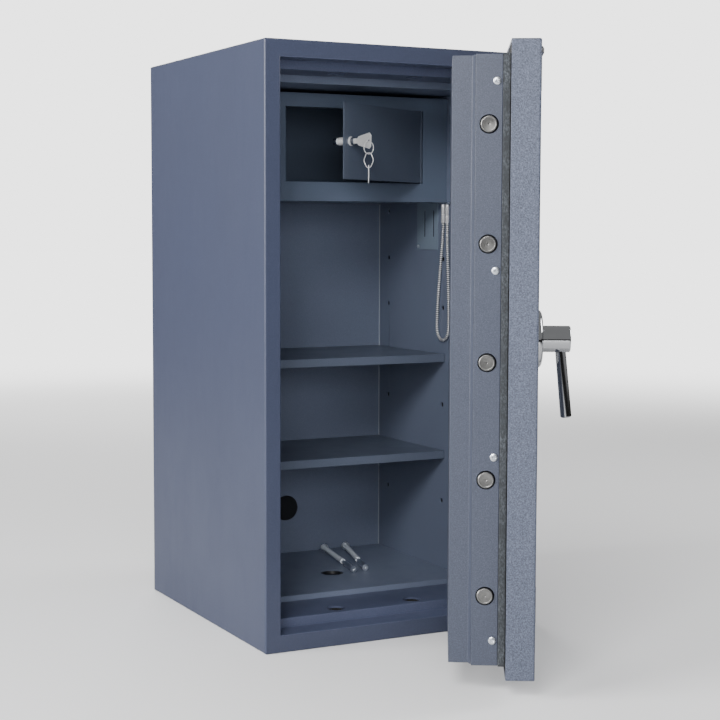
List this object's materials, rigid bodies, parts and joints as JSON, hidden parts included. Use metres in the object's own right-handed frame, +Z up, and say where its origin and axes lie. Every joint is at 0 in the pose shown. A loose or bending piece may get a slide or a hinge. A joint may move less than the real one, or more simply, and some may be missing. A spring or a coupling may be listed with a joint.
{
  "type": "fireproof safe",
  "caption": "Tall fireproof safe with a bolted swing door, lever handle, shelves and a keyed inner locker, shown with both doors open.",
  "frame": {"origin": "on the floor, at the centre of the cabinet's footprint", "axes": "+X towards the hinges, -Y towards the door, +Z up"},
  "size_m": [0.62, 1.1417, 1.214],
  "materials": {
    "body_paint": "fine textured blue-grey powder coat",
    "door_paint": "grainy blue-grey powder coat",
    "interior_paint": "satin dark slate paint",
    "locker_paint": "satin dark blue-grey paint",
    "chrome": "bright chrome plate",
    "bolt_steel": "turned steel with fine lathe lines",
    "mechanism_steel": "plain sheet steel",
    "zinc": "bright zinc plate",
    "hose_steel": "ribbed flexible steel conduit",
    "key_nickel": "nickel plate",
    "seal": "mottled dark heat-swelling seal",
    "fill": "cast mineral fill",
    "black_plastic": "smooth black plastic"
  },
  "bodies": {
    "cabinet": {"outer_casing": "body_paint", "door_frame": "body_paint", "fire_insulation": "fill", "inner_liner": "interior_paint", "rear_plug": "black_plastic", "floor_plug": "black_plastic", "hinge_lug_top": "body_paint", "hinge_lug_bottom": "body_paint", "hinge_cap": "black_plastic", "shelf_lower": "interior_paint", "shelf_upper": "interior_paint", "locker_box": "locker_paint", "slot_plate": "interior_paint", "plate_screw": "zinc", "conduit_bracket": "zinc", "conduit_ferrule_front": "chrome", "conduit_ferrule_rear": "chrome", "conduit_hose": "hose_steel", "anchor_bolt_left": "zinc", "anchor_sleeve_left": "zinc", "anchor_bolt_right": "zinc", "anchor_sleeve_right": "zinc"},
    "main_door": {"door_front_plate": "door_paint", "door_insulation": "fill", "fire_seal": "seal", "bolt_housing": "door_paint", "rear_cover": "door_paint", "hinge_arm_top": "body_paint", "hinge_arm_bottom": "body_paint", "edge_screw_1": "zinc", "edge_screw_2": "zinc", "edge_screw_3": "zinc", "edge_screw_4": "zinc", "handle_rosette": "chrome", "keyhole_escutcheon": "chrome", "lock_case": "mechanism_steel"},
    "handle": {"handle_spindle": "mechanism_steel", "handle_hub": "chrome", "handle_lever": "chrome"},
    "side_bolts": {"side_carriage": "mechanism_steel", "side_bolt_1": "bolt_steel", "side_bolt_2": "bolt_steel", "side_bolt_3": "bolt_steel", "side_bolt_4": "bolt_steel", "side_bolt_5": "bolt_steel"},
    "top_bolts": {"top_link": "mechanism_steel", "top_bolt_1": "bolt_steel", "top_bolt_2": "bolt_steel"},
    "bottom_bolts": {"bottom_link": "mechanism_steel", "bottom_bolt_1": "bolt_steel", "bottom_bolt_2": "bolt_steel"},
    "locker_door": {"inner_door": "locker_paint", "lock_barrel": "chrome"},
    "locker_lock": {"lock_plug": "chrome", "lock_cam": "zinc", "key": "key_nickel"},
    "key_bunch": {"key_ring": "key_nickel", "key_link": "key_nickel", "spare_key": "key_nickel"}
  },
  "joints": [
    {"name": "door_swing", "type": "hinge", "parent": "cabinet", "child": "main_door", "pos_m": [0.294, -0.346, 0.6], "axis": [0, 0, 1], "range_deg": [-60, 110]},
    {"name": "handle_turn", "type": "hinge", "parent": "main_door", "child": "handle", "pos_m": [0.04198, -0.73051, 0.639], "axis": [0.866, -0.5, 0], "range_deg": [0, 90]},
    {"name": "side_bolts_throw", "type": "slide", "parent": "main_door", "child": "side_bolts", "axis": [-0.5, -0.866, 0], "range_m": [0, 0.022]},
    {"name": "top_bolts_throw", "type": "slide", "parent": "main_door", "child": "top_bolts", "axis": [0, 0, 1], "range_m": [0, 0.034]},
    {"name": "bottom_bolts_throw", "type": "slide", "parent": "main_door", "child": "bottom_bolts", "axis": [0, 0, -1], "range_m": [0, 0.034]},
    {"name": "inner_door_swing", "type": "hinge", "parent": "cabinet", "child": "locker_door", "pos_m": [0.1925, -0.0335, 1.016], "axis": [0, 0, 1], "range_deg": [-32, 59]},
    {"name": "key_turn", "type": "hinge", "parent": "locker_door", "child": "locker_lock", "pos_m": [-0.06324, -0.19507, 1.016], "axis": [0.5299, -0.848, 0], "range_deg": [0, 180]},
    {"name": "ring_swing", "type": "hinge", "parent": "locker_lock", "child": "key_bunch", "pos_m": [-0.03998, -0.2323, 1.015], "axis": [0.848, 0.5299, 0], "range_deg": [-60, 20]}
  ],
  "couplings": [
    {"joint": "side_bolts_throw", "follows": "handle_turn", "m_per_rad": 0.014005},
    {"joint": "top_bolts_throw", "follows": "handle_turn", "m_per_rad": 0.021645},
    {"joint": "bottom_bolts_throw", "follows": "handle_turn", "m_per_rad": 0.021645},
    {"joint": "inner_door_swing", "follows": "door_swing", "ratio": 0.5333}
  ]
}
